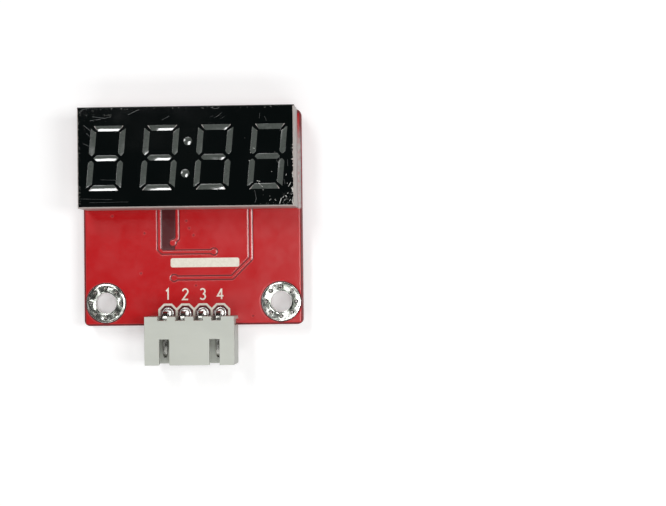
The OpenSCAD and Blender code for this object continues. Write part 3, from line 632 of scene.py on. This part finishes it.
def landFilm(name, key, side, upward, seed):
    # eight sectors round the bore, each a grid from the rim of a small hole out to the sector's own edge;
    # its height is a few long waves, a roll at both rims and a crater round the hole
    s = land
    half = math.pi / s["count"]                  # half the angle of a sector
    along = np.linspace(0.0, 4.0, s["steps"], endpoint=False)
    radius = np.interp(along, range(5), (s["high"], s["high"], s["low"], s["low"], s["high"]))
    angle = np.interp(along, range(5), (-half, half, half, -half, -half))
    outX, outY = radius * np.cos(angle), radius * np.sin(angle)
    turn = np.arctan2(outY, outX - s["ring"])
    inX, inY = s["ring"] + s["hole"] * np.cos(turn), s["hole"] * np.sin(turn)
    share = smooth(0.0, 1.0, np.linspace(0.0, 1.0, s["rings"]))[:, None]
    x, y = inX + (outX - inX) * share, inY + (outY - inY) * share
    sector = (2 * half * np.arange(s["count"]))[:, None, None]
    x, y = x * np.cos(sector) - y * np.sin(sector), x * np.sin(sector) + y * np.cos(sector)
    cells = gridQuads(s["rings"], s["steps"], wrap=True)
    faces = np.concatenate([cells + i * s["rings"] * s["steps"] for i in range(s["count"])])[:, ::-upward]
    x, y = x.ravel(), y.ravel()
    r = np.hypot(x, y)
    spot = 2 * half * np.round(np.arctan2(y, x) / (2 * half))
    fromHole = np.hypot(x - s["ring"] * np.cos(spot), y - s["ring"] * np.sin(spot))
    lump = s["lumpMiddle"] + s["lumpSwing"] * rollingNoise(x, y, s["lumpSize"], seed)
    roll = smooth(0.0, s["boreRoll"], r - s["bore"]) * smooth(0.0, s["outerRoll"], s["outer"] - r)
    crater = s["craterFloor"] + (1.0 - s["craterFloor"]) * smooth(*s["crater"], fromHole)
    height = s["lift"] + roll * (s["thick"] + s["lump"] * np.clip(lump, 0.0, s["lumpMost"])) * crater
    z = (s["frontZ"] if upward > 0 else s["backZ"]) + upward * height
    # pit: 1 in the crater round each small hole, where the tin's colour is darkened, partly as painted shade
    pit = 1.0 - smooth(*s["pit"], fromHole)
    points = np.column_stack([x + side * s["x"], y, z])
    piece = makePiece(name, points, faces, finishes[key], values={"pit": pit}, weld=s["weld"])
    addWall(piece, s["wall"])


landFilm("landFrontLeft", "landLeftPaintedShade", -1, 1, 13)
landFilm("landBackLeft", "landLeftPaintedShade", -1, -1, 11)
landFilm("landFrontRight", "landRightPaintedLight", 1, 1, 14)
landFilm("landBackRight", "landRightPaintedLight", 1, -1, 12)
coatNode("fixing_land_left", "bore")
coatNode("fixing_land_right", "bore")
print("fixing lands dressed")

# the printed marks: their height over the board, each later stroke a layer higher where strokes cross
legend = {"bottom": 1.6, "top": 1.634, "layer": 0.004, "line": 0.21,
          "numberHigh": 1.5, "numberWide": 0.8, "numberY": 0.42,
          "panelLow": (-3.2, 5.0), "panelHigh": (6.6, 6.3), "panelCorner": 0.3}


def ribbon(path, width, closed, bottom, top):
    # a flat line of given width along a path: each point is offset to both sides along its mitre,
    # then carried from just inside what it lies on to just above it as a closed strip
    p = np.asarray(path, float)
    before = np.roll(p, 1, axis=0) if closed else np.vstack([2 * p[0] - p[1], p[:-1]])
    after = np.roll(p, -1, axis=0) if closed else np.vstack([p[1:], 2 * p[-1] - p[-2]])
    one, two = p - before, after - p
    n1 = np.stack([-one[:, 1], one[:, 0]], 1) / np.linalg.norm(one, axis=1)[:, None]
    n2 = np.stack([-two[:, 1], two[:, 0]], 1) / np.linalg.norm(two, axis=1)[:, None]
    m = n1 + n2
    m = m * (2.0 / (m ** 2).sum(1))[:, None] * width / 2
    section = [(p - m, bottom), (p + m, bottom), (p + m, top), (p - m, top)]
    points = np.stack([raised(q, z) for q, z in section], axis=1).reshape(-1, 3)
    n = len(p)
    faces = (gridQuads(n + 1 if closed else n, 4, wrap=True) % (4 * n)).tolist()
    if not closed:
        faces += [[3, 2, 1, 0], [4 * n - 4, 4 * n - 3, 4 * n - 2, 4 * n - 1]]
    return points, faces


def arcPath(cx, cy, rx, ry, start, end, steps=14):
    # points along a part of an ellipse, between two angles in degrees
    a = np.radians(np.linspace(start, end, steps))
    return np.stack([cx + rx * np.cos(a), cy + ry * np.sin(a)], 1).tolist()


def writePanel(name):
    # filled panel with rounded corners: its outline carried from the board's face to just above the mask
    (lowX, lowY), (highX, highY), radius = legend["panelLow"], legend["panelHigh"], legend["panelCorner"]
    corners = [(highX - radius, highY - radius, 0), (lowX + radius, highY - radius, 90),
               (lowX + radius, lowY + radius, 180), (highX - radius, lowY + radius, 270)]
    ring = np.concatenate([arcPath(cx, cy, radius, radius, a, a + 90, 6) for cx, cy, a in corners])
    n = len(ring)
    points = np.vstack([raised(ring, legend["bottom"]), raised(ring, legend["top"])])
    faces = gridQuads(2, n, wrap=True).tolist()
    faces += [list(range(n, 2 * n)), list(range(n - 1, -1, -1))]
    makePiece(name, points, faces, finishes["print"], False)


# plain strokes of the numbers 1 to 4 in a box one unit wide and two high
strokes = [[[(0.2, 1.6), (0.55, 2.0), (0.55, 0.0)]],
           [arcPath(0.5, 1.5, 0.46, 0.5, 170, -35) + [(0.04, 0.0), (1.0, 0.0)]],
           [arcPath(0.46, 1.52, 0.42, 0.48, 150, -80, 12), arcPath(0.46, 0.52, 0.48, 0.52, 85, -150)],
           [[(0.72, 0.0), (0.72, 2.0)], [(0.72, 1.96), (0.0, 0.62), (1.04, 0.62)]]]
outlines, numbers = [], []
reach = header["outline"] / 2 / math.cos(math.pi / 8)        # from an octagon's middle to its corners
turns = np.radians(22.5 + 45 * np.arange(8))
for i, pinX in enumerate(header["pinX"]):
    ring = np.stack([pinX + reach * np.cos(turns), header["rowY"] + reach * np.sin(turns)], 1)
    top = legend["top"] + i % 2 * legend["layer"]
    outlines.append(ribbon(ring, header["line"], True, legend["bottom"], top))
    corner = (pinX - legend["numberWide"] / 2, legend["numberY"])
    for k, path in enumerate(strokes[i]):
        path = np.asarray(path) * (legend["numberWide"], legend["numberHigh"] / 2) + corner
        top = legend["top"] + k * legend["layer"]
        numbers.append(ribbon(path, legend["line"], False, legend["bottom"], top))
joinParts("padOutlines", outlines, finishes["print"])
joinParts("wayNumbers", numbers, finishes["print"])
writePanel("writeOnPanel")
print("marks printed")

# the digits: outlines of windows and strokes, the openings in the print, and the hollowed resin in them
digits = {"pitch": 7.45, "x": 0.15, "y": 20.12, "width": 4.86, "upright": 0.79, "gap": 0.28, "cut": 0.36,
          "inner": 0.2, "slant": 5.3, "corner": 0.12, "window": {"height": 9.36, "level": 1.02},
          "printed": {"height": 8.98, "level": 0.77}, "faceZ": 8.8, "below": 0.015, "bottom": 7.9,
          "dot": 1.2, "dotY": 2.22, "dotPrint": 0.985, "dotSteps": 32,
          "levelHollow": 0.048, "uprightHollow": 0.009, "dotHollow": 0.085, "bowl": 0.04,
          "wave": 0.006, "waveSize": 2.3, "around": 96, "rings": 12, "crowding": 1.2}
# the print on the display's face, its ragged outline and the bites along its right side
face = {"low": (-14.92, 13.38), "high": (14.88, 27.08), "film": 0.012, "step": 0.08,
        "ragged": 0.02, "raggedSize": 0.5, "raggedSeed": 3,
        "chipped": 0.24, "chipSize": 0.6, "chipSeed": 4, "chipY": (22.8, 20.5), "sideStrip": 0.01}
lean = math.tan(math.radians(digits["slant"]))


def strokeOutlines(height, level):
    # outlines of the seven strokes of one digit, slanted, three level ones first
    s = digits
    w, h = s["width"] / 2, height / 2
    iw, ih, mid = w - s["upright"], h - level, w - s["upright"] / 2
    tip = mid - s["gap"]
    top = [(-(w - s["cut"]), h), (-(iw - s["inner"]), ih), (iw - s["inner"], ih), (w - s["cut"], h)]
    waist = [(-tip, 0), (-(tip - level / 2), -level / 2), (tip - level / 2, -level / 2),
             (tip, 0), (tip - level / 2, level / 2), (-(tip - level / 2), level / 2)]
    upright = [(iw, ih - s["inner"]), (iw, s["gap"] + s["upright"] / 2), (mid, s["gap"]),
               (w, s["gap"] + s["upright"] / 2), (w, h - s["cut"])]
    top, waist, upright = (np.array(corners, float) for corners in (top, waist, upright))
    overX, overY = (-1, 1), (1, -1)
    shapes = [top, top[::-1] * overY, waist, upright, upright[::-1] * overX, upright[::-1] * overY, -upright]
    return [shape + shape[:, 1:] * (lean, 0) for shape in shapes]


def walkRing(corners, count):
    # points at even steps round a closed outline, starting at its first corner and keeping its corners
    loop = np.vstack([corners, corners[:1]])
    reach = np.concatenate([[0], np.cumsum(np.hypot(*np.diff(loop, axis=0).T))])
    at = np.linspace(0, reach[-1], count, endpoint=False)
    toCorner = np.abs(at[:, None] - reach[None, :-1])
    at = np.where(toCorner.min(1) < reach[-1] / count / 2, reach[toCorner.argmin(1)], at)
    return np.stack([np.interp(at, reach, loop[:, 0]), np.interp(at, reach, loop[:, 1])], 1)


def resinSkin(window, printed, middle, hollow, along, seed):
    # resin of one window: level from the wall to the print's edge, then hollowed by
    # hollow * (1 - (v / w)^2) + bowl * (1 - (u / a)^2), v and u the offsets across and along the stroke
    s = digits
    n, rows = s["around"], s["rings"]
    wall, edge = walkRing(window, n), walkRing(printed, n)
    share = (np.linspace(0.0, 1.0, rows) ** s["crowding"])[:-1, None, None]
    flat = np.vstack([(edge + (middle - edge) * share).reshape(-1, 2), middle])
    unslanted, outline = flat - middle, printed - middle
    unslanted[:, 0] -= unslanted[:, 1] * lean
    outline[:, 0] -= outline[:, 1] * lean
    offsets = unslanted / np.abs(outline).max(0)
    u, v = offsets[:, along], offsets[:, 1 - along]
    fall = hollow * np.clip(1.0 - v ** 2, 0.0, 1.0) + s["bowl"] * np.clip(1.0 - u ** 2, 0.0, 1.0)
    fall = fall + s["wave"] * rollingNoise(flat[:, 0], flat[:, 1], s["waveSize"], seed) + s["wave"]
    top = s["faceZ"] - s["below"]
    skin = raised(flat, top - np.maximum(fall, 0.0))
    points = np.vstack([raised(wall, s["bottom"]), raised(wall, top), skin])
    faces = gridQuads(rows + 1, n, wrap=True).tolist()
    last = n * rows
    faces += [[last + i, last + (i + 1) % n, len(points) - 1] for i in range(n)]
    faces += [list(range(n - 1, -1, -1))]
    following = np.roll(wall, -1, 0)
    if (following[:, 0] * wall[:, 1] - wall[:, 0] * following[:, 1]).sum() > 0:
        faces = [corners[::-1] for corners in faces]         # the outline runs clockwise
    return points, faces


def softened(corners, reach, steps=5, mostShare=0.4):
    # corners of a closed outline eased by curves: (1 - t)^2 a + 2 t (1 - t) corner + t^2 b
    ring = []
    for before, corner, after in zip(np.roll(corners, 1, 0), corners, np.roll(corners, -1, 0)):
        a = corner + (before - corner) * min(reach / np.hypot(*(before - corner)), mostShare)
        b = corner + (after - corner) * min(reach / np.hypot(*(after - corner)), mostShare)
        ring += [(1 - t) ** 2 * a + 2 * t * (1 - t) * corner + t * t * b for t in np.linspace(0, 1, steps)]
    return np.array(ring)


def printFilm(name, openings):
    # black film on the face: its outline wanders a little and is eaten away down the right side,
    # where it draws in by chipped * max(0, noise); the openings are cut out
    s = face
    low, high = np.array(s["low"]), np.array(s["high"])
    half = (high - low) / 2
    corners = np.array([low, (high[0], low[1]), high, (low[0], high[1])])
    ring = walkRing(corners, int(4 * half.sum() / s["step"]))
    x, y = ring.T
    drawnIn = s["ragged"] * np.abs(rollingNoise(x, y, s["raggedSize"], s["raggedSeed"]))
    worn = (x > high[0] - s["sideStrip"]) * smooth(*s["chipY"], y)
    bites = np.maximum(rollingNoise(x, y, s["chipSize"], s["chipSeed"]), 0.0)
    drawnIn = drawnIn + worn * s["chipped"] * bites
    centre = (low + high) / 2
    loops = [centre + (ring - centre) * (1 - drawnIn[:, None] / half)] + openings
    flat = np.concatenate(loops)
    faces = np.array(tessellate_polygon([[Vector((px, py, 0.0)) for px, py in loop] for loop in loops]))
    one, two = flat[faces[:, 1]] - flat[faces[:, 0]], flat[faces[:, 2]] - flat[faces[:, 0]]
    under = one[:, 0] * two[:, 1] - one[:, 1] * two[:, 0] < 0
    faces[under] = faces[under][:, ::-1]
    points = raised(flat, digits["faceZ"] + s["film"])
    addWall(makePiece(name, points, faces, finishes["facePrint"], False), s["film"])


skins, openings = [], []
for place in range(4):
    spot = np.array([digits["x"] + (place - 1.5) * digits["pitch"], digits["y"]])
    pairs = zip(strokeOutlines(**digits["window"]), strokeOutlines(**digits["printed"]))
    for k, (window, printed) in enumerate(pairs):
        middle = (printed.max(0) + printed.min(0)) / 2 + spot
        hollow = digits["levelHollow"] if k < 3 else digits["uprightHollow"]
        seed = 10 + 14 * place + k
        skins.append(resinSkin(window + spot, printed + spot, middle, hollow, int(k > 2), seed))
        openings.append(softened(printed + spot, digits["corner"]))
turns = np.radians(np.linspace(0, 360, digits["dotSteps"], endpoint=False))
dotRing = np.stack([np.cos(turns), np.sin(turns)], 1) * digits["dot"] / 2
for side in (-1, 1):
    spot = np.array([digits["x"] + side * digits["dotY"] * lean, digits["y"] + side * digits["dotY"]])
    printed = dotRing * digits["dotPrint"] + spot
    skins.append(resinSkin(dotRing + spot, printed, spot, digits["dotHollow"], 0, 5 + side))
    openings.append(printed)
resin = joinParts("segmentResin", skins, finishes["resin"], True)
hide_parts("segment_resin")
printFilm("facePrint", openings)
dressedCopy("displayShell", "display_housing", finishes["shell"], "display_shell", 0.03)

# lines on the face: width in millimetres, then points from one end to the other
scratches = {
    "bottom": 8.8, "top": 8.8155,
    "faceHairs": ("faint", [
        (0.06, (-7.9, 26.1), (-6.4, 26.8)),
        (0.06, (-14.7, 26.4), (-14.4, 26.85), (-13.7, 27.05), (-13.3, 27.06)),
        (0.05, (-12.9, 25.9), (-11.2, 25.65), (-10.3, 25.85)), (0.05, (-13.2, 25.35), (-11.7, 25.55)),
        (0.05, (-14.1, 24.75), (-12.7, 23.5)), (0.05, (-13.7, 23.6), (-13.0, 22.9)),
        (0.05, (-14.2, 22.2), (-12.9, 21.6)), (0.03, (-14.7, 14.55), (-10.2, 14.4)),
        (0.03, (-13.4, 14.0), (-8.0, 14.05)), (0.03, (-11.8, 17.15), (-9.2, 17.05)),
        (0.06, (3.55, 27.0), (3.95, 26.76), (4.55, 26.8), (4.8, 27.05)), (0.04, (-3.2, 25.3), (-2.2, 25.85)),
        (0.05, (12.55, 19.6), (13.0, 18.9), (13.1, 18.55)), (0.05, (12.8, 20.0), (13.65, 19.3)),
        (0.05, (9.55, 15.35), (9.75, 14.25), (9.55, 13.7)), (0.03, (10.35, 26.1), (10.25, 25.35)),
        (0.04, (11.0, 25.6), (11.25, 25.0)), (0.05, (13.1, 23.5), (13.3, 24.2), (13.2, 24.6)),
        (0.05, (13.75, 21.9), (13.9, 21.2)), (0.05, (14.1, 19.6), (14.15, 18.7)),
        (0.04, (13.6, 16.9), (13.75, 16.2))]),
    "faceScratches": ("bright", [
        (0.07, (9.85, 16.75), (10.3, 16.65)), (0.06, (10.05, 16.45), (10.35, 16.2)),
        (0.06, (10.4, 16.1), (10.65, 15.9)), (0.09, (12.95, 13.55), (13.2, 14.3)),
        (0.07, (13.4, 14.35), (13.55, 14.6)), (0.08, (14.2, 15.9), (14.55, 16.5)),
        (0.1, (14.75, 13.75), (14.8, 14.4)), (0.1, (14.72, 15.1), (14.8, 15.9)),
        (0.07, (14.78, 17.2), (14.82, 17.9)), (0.07, (14.3, 13.9), (14.5, 14.15)),
        (0.05, (11.55, 14.0), (11.8, 14.25)), (0.05, (13.85, 17.4), (13.95, 17.65)),
        (0.05, (12.3, 14.2), (12.45, 13.95)), (0.06, (14.0, 14.9), (14.2, 15.05)),
        (0.05, (9.35, 21.25), (9.6, 21.2))])}
for name in ("faceHairs", "faceScratches"):
    key, lines = scratches[name]
    parts = [ribbon(points, width, False, scratches["bottom"], scratches["top"]) for width, *points in lines]
    joinParts(name, parts, finishes[key])
print("display dressed")

# CAD node, finish, slot, width of the broken edges, their steps and the angle from which an edge is sharp
dressing = {
    "headerShell": ("header_housing", "nylon", "header_nylon", 0.07, 3),
    "headerPins": ("header_pins", "pin", "tinned_pin", 0.05),
    "headerPads": ("header_pads", "pad", "tinned_pad", 0.02),
    "headerPinSolder": ("header_pin_solder", "solder", "solder"),
    "displayPads": ("display_pads", "pad", "tinned_pad", 0.02),
    "displayPins": ("display_pins", "pin", "tinned_pin", 0.06),
    "displayPinSolder": ("display_pin_solder", "solder", "solder"),
    "chipBody": ("driver_chip_body", "chip", "chip_epoxy", 0.06, 3),
    "chipLeads": ("driver_chip_leads", "lead", "tinned_lead", 0.03, 2, 50),
    "chipPads": ("chip_solder_pads", "solder", "tinned_pad", 0.03),
    "smallPads": ("small_part_solder_pads", "solder", "tinned_pad", 0.03),
    "resistorBodies": ("resistor_bodies", "resistor", "resistor_body", 0.03),
    "resistorCaps": ("resistor_caps", "lead", "tinned_lead", 0.02),
    "capacitorBodies": ("capacitor_bodies", "capacitor", "capacitor_body", 0.03),
    "capacitorCaps": ("capacitor_caps", "lead", "tinned_lead", 0.02)}
for name, (node, key, slotName, *edges) in dressing.items():
    dressedCopy(name, node, finishes[key], slotName, *edges)
for node, key in (("sealing_resin", "seal"), ("led_board", "ledBoard"), ("led_dice", "die")):
    coatNode(node, key)
print("header, pins and underside dressed")

# the floor under the lowest pins, its tones, and how brightly the surroundings shine
studio = {"floorZ": -2.48, "floorSize": 4000.0, "floorTone": (0.85, 0.85, 0.85, 1.0), "floorRough": 0.9,
          "floorShine": 0.1, "lift": 0.25, "white": (1.0, 1.0, 1.0, 1.0), "world": 0.05}


def paleFloor():
    # lit white board whose own tone is lifted for what looks straight at it or mirrors it, shadows kept
    look = studio
    finish = surfaceFinish("paleFloor", look["floorTone"], look["floorRough"], specular=look["floorShine"])
    rays = finish.add("LightPath", {}).outputs
    seen = finish.most(rays["Is Camera Ray"], rays["Is Glossy Ray"], rays["Is Transmission Ray"])
    finish.set("Emission Color", look["white"])
    finish.join(finish.times(seen, look["lift"]), "Emission Strength")
    return finish.material


corners = np.array([(-1, -1, 0), (1, -1, 0), (1, 1, 0), (-1, 1, 0)]) * studio["floorSize"] / 2
floorMesh = bpy.data.meshes.new("floor")
floorMesh.from_pydata(((corners + (0, 0, studio["floorZ"])) * mm).tolist(), [], [(0, 1, 2, 3)])
floorMesh.materials.append(paleFloor())
floor = bpy.data.objects.new("floor", floorMesh)
bpy.context.scene.collection.objects.link(floor)

# each lamp's place and what it points at in metres, its width and height in metres, and its power in watts
lamps = {"upperLeftLamp": ((-0.09, 0.173, 0.4), (-0.09, 0.173, 0.0), 0.06, 0.184, 0.49),
         "rightLamp": ((0.06, -0.01, 0.4), (0.06, -0.01, 0.0), 0.08, 0.1, 0.3),
         "sideLamp": ((0.25, 0.01, 0.4), (0.25, 0.01, 0.0), 0.22, 0.1, 0.78),
         "leftLamp": ((-0.42, -0.12, 0.26), (0.0, 0.01, 0.0), 0.3, 0.4, 0.36),
         "lowerLamp": ((0.05, -0.19, 0.4), (0.05, -0.19, 0.0), 0.4, 0.12, 0.62)}
for name, (place, aim, width, height, power) in lamps.items():
    lamp = bpy.data.lights.new(name, "AREA")
    lamp.shape = "RECTANGLE"
    lamp.size, lamp.size_y = width, height
    lamp.energy = power
    holder = bpy.data.objects.new(name, lamp)
    bpy.context.scene.collection.objects.link(holder)
    holder.location = place
    holder.rotation_euler = (Vector(aim) - Vector(place)).to_track_quat("-Z", "Y").to_euler()

world = bpy.data.worlds.new("world")
bpy.context.scene.world = world
world.use_nodes = True
surroundings = world.node_tree.nodes["Background"].inputs
surroundings["Color"].default_value = studio["white"]
surroundings["Strength"].default_value = studio["world"]

# place in millimetres, turns in degrees, lens and sensor in millimetres, nearest visible point in metres
view = {"place": (29.47, 3.23, 231.14), "turn": (0.859, 2.39, -0.634), "lens": 87.65, "sensor": 36.0,
        "near": 0.01}
cameraData = bpy.data.cameras.new("camera")
cameraData.lens = view["lens"]
cameraData.sensor_width = view["sensor"]
cameraData.clip_start = view["near"]
camera = bpy.data.objects.new("camera", cameraData)
camera.location = [c * mm for c in view["place"]]
camera.rotation_euler = [math.radians(a) for a in view["turn"]]
bpy.context.scene.collection.objects.link(camera)
bpy.context.scene.camera = camera
bpy.context.scene.view_settings.view_transform = "Standard"
print("floor, light and camera set")
